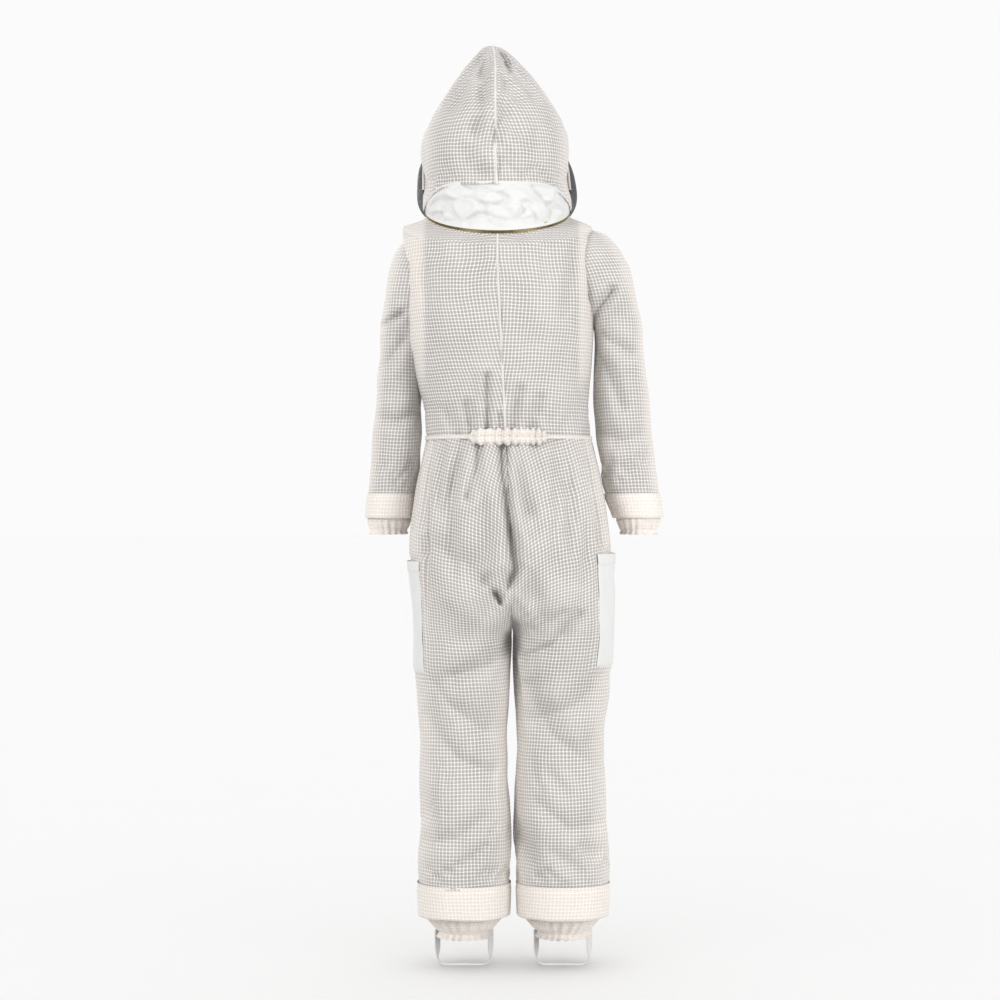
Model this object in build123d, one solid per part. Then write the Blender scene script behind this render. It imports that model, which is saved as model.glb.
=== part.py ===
from build123d import *
import math
import os

# Full-length ventilated beekeeping suit with a zipped-on fencing-veil hood, as it hangs on its wearer.
# Heights (h) are measured up from the soles. The row frame has its origin between the wearer's shoulders,
# so everything is moved down by SHOULDER_LINE when it is written. The front faces -Y, the left side is +X.

# ---- driving dimensions, in mm
SHOULDER_LINE = 1470.0
WAIST = 1048.0              # height of the waist seam
CLOTH = 3.0                 # thickness of the three-layer mesh
LINEN = 1.6                 # thickness of the plain white cloth
NET = 1.2                   # thickness of the black veil
PLAY = 0.6                  # gap between pieces that move apart
FRONT_Y = -150.0            # the straight front of the suit, where the zip runs
FRONT_GAP = 8.0             # half the gap between the two front edges
BIG = 2000.0                # larger than the suit

COLLAR_H = 1497.0           # height of the collar zip at the sides of the neck
COLLAR_R = 141.0            # radius of the collar zip
BACK_TILT = 21.0            # how far the back and the front half of the zip slope down, in degrees
FRONT_TILT = 24.0
ZIP_CLEAR = 9.0             # cloth stops this far from the middle of the collar zip

BAND_TOP = 1553.0           # top of the hood's white band
HIP_Y, HIP_H, HIP_R = 10.0, 860.0, 200.0
KNEE_Y, KNEE_H, KNEE_R, KNEE_BEND = -18.0, 460.0, 102.0, 60.0
ELBOW_H, ELBOW_R, ELBOW_BEND = 1150.0, 61.0, 80.0
SHOULDER_R = 82.0
ARMHOLE_X = 178.0           # the plane of the armhole seam
SEAT_X = -28.0              # the crotch seam, which the stance moves off the middle

CHAIN_IN, CHAIN_OUT = 1.3, 3.4     # each row of teeth lies between these distances from the middle
TAPE_W = 11.0
ZIP_TOP, ZIP_BOTTOM = 1384.0, 800.0
SLIDER_TOP = 1350.0
ZIP_Y = FRONT_Y + 4.5
ZIP_LEAN = math.degrees(math.atan2(-SEAT_X, ZIP_TOP - ZIP_BOTTOM))
POCKET_GAP = 16.0           # room inside a patch pocket
PIN_OUT = 5.9               # how far a pull's pin stands in front of the middle of its teeth
SLIDER_TURN = 3.6           # half the angle between the two closed collar sliders
COLLAR_PULL = 8.0           # length of the tabs on the two collar sliders
PULL_TILT = 44.0            # the collar pulls lie on the slope of the chest
FLAP_FOOT, FLAP_TOP = (-156.0, 1386.0), (-145.5, 1480.0)
FLAP_W = 62.0

# Each station of a tube of cloth is (height, middle x, half width, front y, back y)
BODICE = [
    (WAIST + 9, -21, 162, FRONT_Y, 112),
    (1105, -17, 160, FRONT_Y, 118),
    (1205, -8, 160, FRONT_Y, 130),
    (1300, 0, 178, FRONT_Y, 140),
    (1392, 0, 186, FRONT_Y, 143),
    (1438, 0, 186, -131, 136),
    (1466, 0, 184, -131, 136),
    (1486, 0, 154, -131, 136),
    (1520, 0, 142, -131, 136),
]
SEAT = [
    (640, -31, 201, -140, 128),
    (760, -28, 201, FRONT_Y, 132),
    (857, -27, 197, FRONT_Y, 140),
    (936, -24, 188, FRONT_Y, 134),
    (1000, -22, 178, FRONT_Y, 120),
    (WAIST - 9, -22, 165, FRONT_Y, 113),
]
HOOD = [
    (1420, 0, 147, -141, 142),
    (1500, 0, 147, -141, 142),
    (1553, 2, 145, -156, 143),
    (1600, 4, 148, -168, 147),
    (1650, 4, 140, -170, 143),
    (1690, 4, 122, -160, 130),
    (1735, 4, 91, -136, 104),
    (1775, 4, 55, -98, 66),
    (1805, 4, 26, -60, 26),
    (1828, 4, 9, -34, -10),
]
# The wearer stands with one arm close to the side and the weight on one leg, so the sides differ
LEFT = {
    "name": "left",
    "side": 1,
    "shoulder": (155.0, 0.0, 1388.0),
    "elbow_y": -40.0,
    "arm": [
        (840, 220, 47, -112, -10),
        (889, 217, 48, -109, -3),
        (936, 213, 48, -110, -1),
        (1020, 203, 50, -108, 3),
        (1150, 198, 46, -92, 12),
        (1205, 193, 46, -90, 26),
        (1280, 184, 49, -84, 46),
        (1350, 166, 62, -76, 66),
        (1400, 153, 67, -70, 70),
        (1440, 153, 51, -58, 60),
        (1460, 166, 28, -38, 40),
        (1468, 176, 14, -20, 22),
    ],
    "leg": [
        (90, 66.5, 88, -84, 78),
        (165, 66.5, 91.5, -88, 82),
        (300, 67, 88, -92, 86),
        (460, 73, 86, -106, 70),
        (560, 70, 94, -112, 84),
        (660, 68, 97, -124, 104),
        (740, 69, 99, -134, 122),
    ],
    "cuff": (220.0, -60.0),
}
RIGHT = {
    "name": "right",
    "side": -1,
    "shoulder": (-190.0, 0.0, 1385.0),
    "elbow_y": -30.0,
    "arm": [
        (840, -286, 48, -98, 4),
        (889, -282, 49, -96, 10),
        (936, -270, 54, -98, 12),
        (1020, -257, 57, -98, 14),
        (1150, -248, 55, -82, 22),
        (1205, -246, 51, -82, 32),
        (1280, -238, 50, -80, 48),
        (1350, -208, 66, -74, 66),
        (1400, -189, 68, -70, 70),
        (1440, -180, 50, -58, 60),
        (1460, -182, 28, -38, 40),
        (1468, -184, 12, -20, 22),
    ],
    "leg": [
        (90, -130, 89, -84, 78),
        (165, -130, 91.5, -88, 82),
        (300, -128, 89, -92, 86),
        (460, -130, 86, -106, 70),
        (560, -131, 95, -112, 84),
        (660, -132, 100, -124, 104),
        (740, -132, 99, -134, 122),
    ],
    "cuff": (-284.0, -44.0),
}
SIDES = [LEFT, RIGHT]

HEM_H = {"arm": (889.0, 936.0), "leg": (98.0, 165.0)}
CUFF_BORE = 33.0            # radius of the gathered wrist opening
ANKLE_BORE = 46.0           # radius of the gathered ankle opening


# ---- helpers
def oval(height, mid_x, half, front, back, grow):
    """A flat oval face at a height, grown by a margin."""
    face = Ellipse(half + grow, (back - front) / 2 + grow).face()
    return Pos(mid_x, (back + front) / 2, height) * face


def lofted(stations, grow=0.0, down=0.0, up=0.0):
    """A solid through the stations, whose two ends may reach further down and up."""
    moved = [list(s) for s in stations]
    moved[0][0] -= down
    moved[-1][0] += up
    return loft([oval(*s, grow) for s in moved], ruled=True)


def tube(stations, wall=CLOTH, grow=0.0, top_wall=-1.0):
    """A tube of cloth through the stations, open at the top unless it has a top wall."""
    return lofted(stations, grow) - lofted(stations, grow - wall, down=1.0, up=-top_wall)


def between(low, high):
    """A slab of space between two heights."""
    return Pos(0, 0, (low + high) / 2) * Box(BIG, BIG, high - low)


def beyond_x(x, side):
    """The half space on one side of the plane at x."""
    return Pos(x + side * BIG / 2, 0, SHOULDER_LINE) * Box(BIG, 2 * BIG, 2 * BIG)


def rod_x(y, height, radius):
    """A long cylinder along X, about a hinge."""
    return Pos(0, y, height) * Rot(0, 90, 0) * Cylinder(radius, BIG)


def rod_y(x, height, radius):
    """A long cylinder along Y, about a shoulder hinge."""
    return Pos(x, 0, height) * Rot(90, 0, 0) * Cylinder(radius, BIG)


def hinge_wedge(y, height, start, end):
    """The space swept about a hinge along X, between two angles measured from straight down towards the back."""
    outline = [(0, 0)]
    steps = 6
    for n in range(steps + 1):
        turn = math.radians(start + (end - start) * n / steps)
        outline.append((BIG * math.sin(turn), -BIG * math.cos(turn)))
    face = make_face(Polyline(*outline, close=True))
    return Pos(-BIG, y, height) * Plane.YZ.location * extrude(face, 2 * BIG)


def collar_plane(front):
    """The plane of the front or the back half of the collar zip."""
    tilt = math.radians(FRONT_TILT if front else BACK_TILT)
    lean = -1 if front else 1
    return Plane(
        origin=(0, 0, COLLAR_H),
        x_dir=(1, 0, 0),
        z_dir=(0, lean * math.sin(tilt), math.cos(tilt)),
    )


def half_space_y(front):
    """The space in front of or behind the shoulder line."""
    return Pos(0, (-1 if front else 1) * BIG / 2, SHOULDER_LINE) * Box(2 * BIG, BIG, 2 * BIG)


def collar_layer(low, high):
    """The space between two distances above the bent plane of the collar zip."""
    halves = []
    for front in (True, False):
        slab = Pos(0, 0, (low + high) / 2) * Box(BIG, BIG, high - low)
        halves.append(collar_plane(front).location * slab & half_space_y(front))
    return halves[0] + halves[1]


def collar_ring(inner, outer, low, high):
    """A ring of cloth or teeth that follows the collar zip all the way round."""
    halves = []
    for front in (True, False):
        ring = Cylinder(outer, high - low) - Cylinder(inner, high - low + 2)
        ring = Pos(0, 0, (low + high) / 2) * ring
        halves.append(collar_plane(front).location * ring & half_space_y(front))
    return halves


def write(name, *solids):
    """Write one node, moved into the row frame."""
    moved = [Pos(0, 0, -SHOULDER_LINE) * s for whole in solids for s in whole.solids()]
    export_step(moved[0] if len(moved) == 1 else Compound(children=moved), f"parts/{name}.step")


def arm_space(side, grow=0.0):
    return lofted(side["arm"], grow)


def split_front_back(shape, seam_y, seam=0.1):
    """The front and the back panel of a tube, parted at its side seams."""
    front = shape & Pos(0, seam_y - seam - BIG / 2, SHOULDER_LINE) * Box(2 * BIG, BIG, 2 * BIG)
    back = shape & Pos(0, seam_y + seam + BIG / 2, SHOULDER_LINE) * Box(2 * BIG, BIG, 2 * BIG)
    return front, back


# ---- bodice
def bodice():
    """Two front and two back panels from the waist to the collar zip, open at the armholes."""
    cloth = tube(BODICE) & collar_layer(-BIG / 2, -ZIP_CLEAR)
    for side in SIDES:
        cloth -= arm_space(side, PLAY)
        cloth -= beyond_x(side["side"] * ARMHOLE_X, side["side"])
    front, back = split_front_back(cloth, -20.0)
    for side in SIDES:
        s, name = side["side"], side["name"]
        write(f"bodice_front_{name}", front & zip_place(WAIST) * beyond_x(s * FRONT_GAP, s))
        write(f"bodice_back_{name}", back & beyond_x(s * 0.1, s))


def waistband():
    """A casing round the waist seam, with a length of elastic across the small of the back."""
    stations = [
        (WAIST - 8.5, -22, 163, FRONT_Y, 112.5),
        (WAIST + 8.5, -22, 163, FRONT_Y, 112.5),
    ]
    casing = tube(stations, wall=6.0, grow=1.0)
    channel = [(WAIST - 6, *stations[0][1:]), (WAIST + 12, *stations[1][1:])]
    casing -= lofted(channel, -1.0) - lofted(channel, -3.4, down=1.0, up=1.0)
    casing -= zip_place(WAIST) * Box(2 * (CHAIN_OUT + TAPE_W + 1), 60, 60)
    strip = [(WAIST - 5.5, *stations[0][1:]), (WAIST + 6.5, *stations[1][1:])]
    elastic = lofted(strip, -1.4) - lofted(strip, -3.0, down=1.0, up=1.0)
    elastic &= Pos(-22, 120, WAIST) * Box(160, 160, 60)
    write("waist_casing", casing)
    write("waist_elastic", elastic)


# ---- sleeves
def sleeve(side):
    """Sleeve head, upper sleeve and lower sleeve, parted where the arm lifts and bends."""
    s, name = side["side"], side["name"]
    x, _, height = side["shoulder"]
    whole = tube(side["arm"])
    head = (whole & rod_y(x, height, SHOULDER_R) & between(1280, 1500)) - lofted(BODICE, 0.3)
    write(f"sleeve_head_{name}", max(head.solids(), key=lambda piece: piece.volume))

    elbow_y = side["elbow_y"]
    ball = rod_x(elbow_y, ELBOW_H, ELBOW_R)
    upper = whole & between(ELBOW_H - 80, 1440)
    upper -= rod_y(x, height, SHOULDER_R + PLAY)
    upper -= beyond_x(x, -s) & between(height, 1500)
    upper -= hinge_wedge(elbow_y, ELBOW_H, -64 - ELBOW_BEND, 70) - ball
    write(f"sleeve_upper_{name}", max(upper.solids(), key=lambda piece: piece.volume))

    hem_low, hem_high = HEM_H["arm"]
    lower = whole & between(hem_high - 4, ELBOW_H)
    lower -= rod_x(elbow_y, ELBOW_H, ELBOW_R + PLAY)
    write(f"sleeve_lower_{name}", lower)
    hem = tube(side["arm"], wall=CLOTH + 1, grow=3.2) & between(hem_low, hem_high + 4)
    hem -= tube(side["arm"], wall=CLOTH + 4, grow=0.2) & between(hem_high - 4.2, hem_high + 10)
    write(f"sleeve_hem_{name}", hem)


def gathered_cuff(x, y, top, bottom, top_oval, bore, seat):
    """A gathered cuff of cloth with an open channel, and the ring of elastic in it."""
    rim_top = bottom + 20
    half, depth = top_oval
    skirt = [
        (rim_top, x, bore + 6, y - bore - 6, y + bore + 6),
        (top, seat[0], half, seat[1] - depth, seat[1] + depth),
    ]
    cloth = tube(skirt, wall=2.0)
    centre = Pos(x, y, bottom + 10)
    rim = centre * (Cylinder(bore + 6, 20) - Cylinder(bore, 22))
    groove = Cylinder(bore + 4.6, 18) - Cylinder(bore + 1.4, 20)
    rim -= Pos(x, y, bottom + 14) * groove
    cap = Pos(x, y, rim_top - 1) * (Cylinder(bore + 6, 2) - Cylinder(bore + 4.2, 3))
    elastic = Pos(x, y, bottom + 11) * (Cylinder(bore + 4.2, 10) - Cylinder(bore + 1.8, 12))
    return cloth, rim + cap, elastic


def wrist(side):
    x, y = side["cuff"]
    bottom = 856.0
    top = HEM_H["arm"][0] - 0.1
    station = side["arm"][1]
    seat = (station[1], (station[3] + station[4]) / 2)
    size = (station[2], (station[4] - station[3]) / 2)
    cloth, rim, elastic = gathered_cuff(x, y, top, bottom, size, CUFF_BORE, seat)
    write(f"wrist_cuff_{side['name']}", cloth + rim)
    write(f"wrist_elastic_{side['name']}", elastic)


# ---- trousers
def seat():
    """Front and back panels from the waist to the crotch, which end where the legs swing."""
    cloth = tube(SEAT)
    cloth &= rod_x(HIP_Y, HIP_H, HIP_R) + between(HIP_H, WAIST)
    front, back = split_front_back(cloth, -10.0)
    fly = zip_place((WAIST + ZIP_BOTTOM) / 2) * Box(2 * FRONT_GAP, 60, WAIST - ZIP_BOTTOM + 8)
    for side in SIDES:
        s, name = side["side"], side["name"]
        write(f"seat_front_{name}", (front & zip_place(WAIST) * beyond_x(s * 0.1, s)) - fly)
        write(f"seat_back_{name}", back & beyond_x(SEAT_X + s * 0.1, s))


def leg(side):
    """Upper and lower leg, parted where the hip and the knee bend, with a patch pocket on the thigh."""
    s, name = side["side"], side["name"]
    whole = tube(side["leg"])
    knee = rod_x(KNEE_Y, KNEE_H, KNEE_R)
    upper = whole & between(KNEE_H - 120, 740)
    upper -= rod_x(HIP_Y, HIP_H, HIP_R + PLAY)
    upper &= beyond_x(SEAT_X + s * 0.5, s)
    upper -= hinge_wedge(KNEE_Y, KNEE_H, -62, 64 + KNEE_BEND) - knee
    write(f"leg_upper_{name}", max(upper.solids(), key=lambda piece: piece.volume))

    hem_low, hem_high = HEM_H["leg"]
    lower = whole & between(hem_high - 4, KNEE_H)
    lower -= rod_x(KNEE_Y, KNEE_H, KNEE_R + PLAY)
    write(f"leg_lower_{name}", lower)
    hem = tube(side["leg"], wall=CLOTH + 1, grow=3.2) & between(hem_low, hem_high + 4)
    hem -= tube(side["leg"], wall=CLOTH + 4, grow=0.2) & between(hem_high - 4.2, hem_high + 10)
    write(f"leg_hem_{name}", hem)


def ankle(side):
    """The inner gathered ankle cuff, its elastic, and the strap that passes under the foot."""
    station = side["leg"][0]
    x, y = station[1], (station[3] + station[4]) / 2
    bottom = 54.0
    size = (station[2] - 6, (station[4] - station[3]) / 2 - 6)
    cloth, rim, elastic = gathered_cuff(x, y, HEM_H["leg"][0] + 12, bottom, size, ANKLE_BORE, (x, y))
    name = side["name"]
    write(f"ankle_cuff_{name}", cloth + rim)
    write(f"ankle_elastic_{name}", elastic)
    reach = ANKLE_BORE + 6.2
    strap = Box(2 * reach + 3.2, 15, bottom + 16)
    strap -= Pos(0, 0, 1.6) * Box(2 * reach, 17, bottom + 16)
    write(f"stirrup_strap_{name}", Pos(x, y, (bottom + 16) / 2) * strap)


def patch_pocket(stations, low, high, window):
    """A patch pocket that follows a tube of cloth, open at the top, inside a window of (x, y, width, depth)."""
    x, y, width, depth = window
    gap = POCKET_GAP + LINEN
    outer = tube(stations, wall=LINEN, grow=gap) & between(low, high)
    solid = tube(stations, wall=gap - 0.3, grow=gap)
    frame = Pos(x, y, (low + high) / 2) * Box(width, depth, high - low)
    inside = Pos(x, y, (low + high) / 2 + LINEN) * Box(width - 2 * LINEN, depth - 2 * LINEN, high - low)
    rim = (solid & frame) - inside
    return (outer & frame) + rim


def pockets():
    """One pocket of plain cloth on each thigh, and one on the left of the chest."""
    for side in SIDES:
        s = side["side"]
        x = s * BIG / 4
        pocket = patch_pocket(SEAT, 690.0, 815.0, (x + SEAT_X, 28, BIG / 2, 130))
        write(f"thigh_pocket_{side['name']}", pocket & rod_x(HIP_Y, HIP_H, HIP_R))
    pocket = patch_pocket(BODICE, 1205.0, 1345.0, (82, -BIG / 4, 110, BIG / 2))
    write("chest_pocket", pocket)


# ---- zips
def collar_zip():
    """Two bent rings of tape and teeth; the upper ones belong to the hood."""
    r = COLLAR_R
    for name, sign in (("lower", -1), ("upper", 1)):
        near, far = sorted((sign * CHAIN_IN, sign * CHAIN_OUT))
        write(f"collar_zip_teeth_{name}", *collar_ring(r - 1.5, r + 1.5, near, far))
        near, far = sorted((sign * (CHAIN_OUT + 0.05), sign * (CHAIN_OUT + TAPE_W)))
        write(f"collar_zip_tape_{name}", *collar_ring(r - 0.5, r + 0.5, near, far))


def zip_slider(lug_turn=0):
    """A slider with two plates and a middle post, its chain running along Z and its face towards -Y."""
    plates = [Pos(0, side * 3.4, 0) * Box(11.5, 1.8, 13) for side in (-1, 1)]
    lug = Pos(0, -PIN_OUT, 0) * (Box(3, 3.4, 6) - Rot(0, 90, 0) * Cylinder(1.0, 10))
    return plates[0] + plates[1] + Box(2.0, 6, 4) + Rot(0, lug_turn, 0) * lug


def zip_pull(length=24.0):
    """A pull tab that hangs from a pin through a slider's lug, with the pin at the origin."""
    pull = Rot(0, 90, 0) * Cylinder(0.7, 6.6) + Pos(0, 0, -7 - length / 2) * Box(8, 1.6, length)
    pull -= Pos(0, 0, -3 - length) * Rot(90, 0, 0) * Cylinder(2, 5)
    for s in (-1, 1):
        arm = Rot(0, 90, 0) * Cylinder(1.2, 1.2) + Pos(0, 0, -4) * Box(1.2, 1.6, 8)
        pull += Pos(s * 2.7, 0, 0) * arm
    return pull


def zip_place(height):
    """A point on the front zip, turned as the zip leans."""
    return Pos(0, ZIP_Y, ZIP_TOP) * Rot(0, ZIP_LEAN, 0) * Pos(0, 0, height - ZIP_TOP)


def front_zip():
    """Tapes, teeth, slider, pull and end stop of the long front zip."""
    mid = zip_place((ZIP_TOP + ZIP_BOTTOM) / 2)
    length = ZIP_TOP - ZIP_BOTTOM
    teeth = []
    for side in SIDES:
        s = side["side"]
        tape = Pos(s * (CHAIN_OUT + 0.05 + TAPE_W / 2), 1.3, 0) * Box(TAPE_W, 0.8, length)
        write(f"front_zip_tape_{side['name']}", mid * tape)
        row = Box(CHAIN_OUT - CHAIN_IN, 3, length - 8)
        teeth.append(mid * Pos(s * (CHAIN_IN + CHAIN_OUT) / 2, 0, 0) * row)
    write("front_zip_teeth", *teeth)
    write("front_zip_stop", zip_place(ZIP_BOTTOM + 1) * Box(6.6, 4, 5.8))
    write("front_zip_slider", zip_place(SLIDER_TOP) * zip_slider())
    write("front_zip_pull", zip_place(SLIDER_TOP) * Pos(0, -PIN_OUT, 0) * zip_pull())


def collar_sliders():
    """Two sliders that meet at the throat and run back along the front half of the collar zip."""
    across = collar_plane(True).location
    for side in SIDES:
        turn = Rot(0, 0, side["side"] * SLIDER_TURN)
        slider = across * turn * Pos(0, -COLLAR_R, 0) * Rot(0, 90, 0) * zip_slider(90)
        write(f"collar_zip_slider_{side['name']}", slider)
        pin = across * turn * Pos(0, -COLLAR_R - PIN_OUT, 0)
        pull = pin * Rot(-FRONT_TILT - PULL_TILT, 0, 0) * zip_pull(COLLAR_PULL)
        write(f"collar_zip_pull_{side['name']}", pull)


def throat_flap():
    """A tab sewn to the chest that covers the throat, with a hook patch that meets a loop patch on the hood."""
    rise, depth = FLAP_TOP[1] - FLAP_FOOT[1], FLAP_TOP[0] - FLAP_FOOT[0]
    tilt = math.degrees(math.atan2(depth, rise))
    length = math.hypot(rise, depth)
    place = Pos(0, *FLAP_FOOT) * Rot(-tilt, 0, 0)
    corners = extrude(RectangleRounded(FLAP_W, length + 12, 12), 2.0)
    tab = place * Pos(0, -2.0, length / 2 + 6) * Rot(-90, 0, 0) * corners
    write("throat_flap", tab & Pos(0, 0, FLAP_FOOT[1] + BIG / 2) * Box(BIG, BIG, BIG))
    write("flap_hook_patch", place * Pos(0, 0.7, length - 14) * Box(FLAP_W - 12, 1.2, 20))
    write("flap_loop_patch", Pos(0, HOOD[0][3] - 0.9, FLAP_TOP[1] - 12) * Box(FLAP_W - 12, 1.4, 20))


# ---- hood
def veil_plane():
    """The slanted plane of the seam between the crown and the veil."""
    low, high = (-18.0, BAND_TOP), (-152.0, 1722.0)
    slope = math.degrees(math.atan2(high[1] - low[1], high[0] - low[0]))
    return Pos(0, low[0], low[1]) * Rot(slope, 0, 0)


def veil_cut():
    """The space in front of that seam."""
    return veil_plane() * Pos(0, 0, BIG / 2) * Box(BIG, 2 * BIG, BIG)


def veil_edge():
    """A thin slab of space on that seam."""
    return veil_plane() * Box(BIG, 2 * BIG, 5)


def hood():
    """White band, two crown panels with a bound seam, and the black veil with its piped edge."""
    above = collar_layer(ZIP_CLEAR, BIG / 2)
    write("hood_band", tube(HOOD, wall=LINEN) & above & between(1400, BAND_TOP - 0.1))
    front = veil_cut()
    high = between(BAND_TOP + 0.1, 1900)
    crown = (tube(HOOD[1:], wall=2.0, top_wall=2.0) & high) - front
    mid = HOOD[-1][1]
    for side in SIDES:
        s = side["side"]
        write(f"hood_crown_{side['name']}", crown & beyond_x(mid + s * 0.1, s))
    write("veil", tube(HOOD[1:], wall=NET, top_wall=NET) & high & front)
    raised = (lofted(HOOD[1:], 2.2, up=2.2) - lofted(HOOD[1:], 0.2, down=1.0, up=0.2)) & high
    edge = raised & veil_edge()
    write("veil_piping", edge)
    ridge = raised & Pos(mid, 0, 1700) * Box(7, BIG, 600)
    write("hood_seam_binding", max((ridge - front - edge).solids(), key=lambda piece: piece.volume))


def build():
    os.makedirs("parts", exist_ok=True)
    bodice()
    waistband()
    seat()
    pockets()
    for side in SIDES:
        sleeve(side)
        wrist(side)
        leg(side)
        ankle(side)
    collar_zip()
    front_zip()
    collar_sliders()
    throat_flap()
    hood()


build()
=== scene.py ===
"""A full-length ventilated beekeeping suit and its hood, standing as worn, built over the CAD frame."""
import math

import bpy
import numpy as np
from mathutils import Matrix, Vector, noise


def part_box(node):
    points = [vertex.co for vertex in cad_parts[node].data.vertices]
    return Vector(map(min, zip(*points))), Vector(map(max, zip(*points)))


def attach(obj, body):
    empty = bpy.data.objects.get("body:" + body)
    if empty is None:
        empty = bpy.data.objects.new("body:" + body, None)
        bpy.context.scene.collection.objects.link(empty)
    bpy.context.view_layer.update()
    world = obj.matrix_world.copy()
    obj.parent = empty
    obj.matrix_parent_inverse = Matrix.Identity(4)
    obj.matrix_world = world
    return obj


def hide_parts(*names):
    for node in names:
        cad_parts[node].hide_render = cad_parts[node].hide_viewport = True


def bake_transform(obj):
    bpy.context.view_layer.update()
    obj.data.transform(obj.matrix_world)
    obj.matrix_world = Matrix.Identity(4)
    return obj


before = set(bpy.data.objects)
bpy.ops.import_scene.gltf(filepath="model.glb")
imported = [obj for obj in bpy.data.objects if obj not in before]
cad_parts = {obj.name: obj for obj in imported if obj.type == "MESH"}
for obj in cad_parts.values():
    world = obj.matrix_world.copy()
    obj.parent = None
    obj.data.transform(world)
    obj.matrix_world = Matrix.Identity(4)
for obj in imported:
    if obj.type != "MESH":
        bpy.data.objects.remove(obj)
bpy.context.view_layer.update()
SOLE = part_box("stirrup_strap_left")[0][2]  # z of the ground; every height below is above it, in metres

# ---- driving shapes, in millimetres as in the CAD ----
# The torso and seat list (height, left x, right x, front y, back y); LEGS, ARMS and HOOD list
# (height, middle x, reach in x, front y, back y).
TORSO = (
    (1030, 137, -187, -149, 113), (1057, 141, -183, -150, 114), (1105, 146, -180, -150, 118),
    (1160, 156, -182, -150, 124), (1205, 169, -186, -150, 130), (1300, 186, -191, -150, 140),
    (1392, 190, -188, -150, 143),
    (1438, 188, -187, -133, 137), (1460, 188, -187, -131, 136), (1470, 184, -184, -131, 136),
    (1479, 165, -165, -131, 136), (1487, 149, -149, -131, 136), (1520, 142, -142, -131, 136),
)
SEAT = (
    (640, 170, -232, -140, 128), (760, 173, -229, -150, 134), (857, 171, -224, -150, 141),
    (936, 164, -212, -150, 136), (1000, 152, -200, -150, 121), (1050, 139, -186, -150, 113),
)
LEG_ROWS = (  # (height, left middle, left reach, right middle, right reach, front y, back y)
    (90, 66.5, 88, -130, 88, -84, 78), (165, 66.5, 91, -130, 91, -88, 82), (300, 67, 88, -128, 89, -92, 86),
    (460, 73, 86, -130, 86, -106, 72), (560, 70, 94, -131, 95, -112, 84), (660, 68, 96, -130, 99, -124, 104),
    (740, 69, 99, -132, 99, -134, 122),
)
LEGS = {
    "left": tuple((h, mid, reach, *y) for h, mid, reach, _, _, *y in LEG_ROWS),
    "right": tuple((h, mid, reach, *y) for h, _, _, mid, reach, *y in LEG_ROWS),
}
ARMS = {
    "left": (
        (840, 220, 46, -112, -10), (889, 217, 47, -109, -3), (936, 213, 47, -110, -1),
        (1020, 203, 50, -108, 3), (1150, 198, 46, -92, 12), (1205, 193, 46, -90, 26),
        (1280, 184, 49, -84, 46), (1350, 163, 60, -76, 66), (1395, 152, 62, -70, 66),
        (1430, 150, 46, -56, 52), (1446, 154, 24, -34, 30), (1453, 156, 6, -12, 10),
    ),
    "right": (
        (840, -286, 47, -98, 4), (889, -282, 48, -96, 10), (936, -270, 54, -98, 12),
        (1020, -257, 57, -98, 14), (1150, -248, 55, -82, 22), (1205, -246, 51, -82, 32),
        (1280, -238, 50, -80, 48), (1350, -208, 66, -74, 66), (1400, -187, 67, -70, 66),
        (1438, -178, 50, -56, 52), (1456, -176, 26, -34, 30), (1463, -176, 6, -12, 10),
    ),
}
HOOD = (
    (1420, 0, 147, -141, 142), (1500, 0, 147, -141, 142), (1553, 2, 145, -156, 143),
    (1600, 4, 147, -168, 147), (1650, 4, 140, -170, 144), (1690, 4, 123, -160, 134),
    (1735, 4, 94, -136, 112), (1775, 4, 62, -98, 84),
    (1800, 6, 43, -70, 60), (1815, 8, 28, -52, 38), (1824, 9, 15, -36, 16), (1828.5, 9, 3, -20, -8),
)
SIDES = {"left": 1.0, "right": -1.0}
SEAT_X = -0.028
ZIP_TOP, ZIP_FOOT = (0.0, 1.384), (SEAT_X, 0.800)  # (x, height) of the leaning front zip
ZIP_Y = -0.1455
WAIST = 1.048
CROTCH = 0.655
COLLAR_R, COLLAR_H = 0.141, 1.497
BACK_TILT, FRONT_TILT = math.tan(math.radians(21)), math.tan(math.radians(24))
QUARTER = math.pi / 2
GAIN = 1.45  # settled folds are deepened by this much
COLLAR_GAP = 0.0032  # cloth edges stop this far above and below the middle of the collar zip
COARSE, FINE = 0.0125, 4  # cloth is settled on a grid this wide, then each cell is divided this often
SQUARED = 0.93  # power of an oval's cosine and sine: 1 is an ellipse, and less is squarer
ALL_ROWS = slice(None)
UP = np.array([0, 0, 1.0])
BACKWARD = np.array([0, 1.0, 0])
KNEE_SPLIT, ELBOW_SPLIT = 0.525, 1.27  # heights at which a leg and a sleeve pass from one piece to the next


# ---- numbers and grids ----
def smooth(a, b, x):
    t = np.clip((x - a) / (b - a), 0, 1)
    return t * t * (3 - 2 * t)


def stations(rows, h):
    """Smoothly interpolated columns of a station list at heights h, in metres."""
    s = np.array(rows, float) / 1000
    x, y = s[:, 0], s[:, 1:]
    m = np.gradient(y, x, axis=0)
    h = np.clip(np.asarray(h, float), x[0], x[-1])
    i = np.clip(np.searchsorted(x, h) - 1, 0, len(x) - 2)
    d = (x[i + 1] - x[i])[..., None]
    t = (h - x[i])[..., None] / d
    a, b = 2 * t**3 - 3 * t**2 + 1, t**3 - 2 * t**2 + t
    out = a * y[i] + b * d * m[i] + (1 - a) * y[i + 1] + (t**3 - t**2) * d * m[i + 1]
    return np.moveaxis(out, -1, 0)


def signed_power(v, p):
    return np.sign(v) * np.abs(v) ** p


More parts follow.
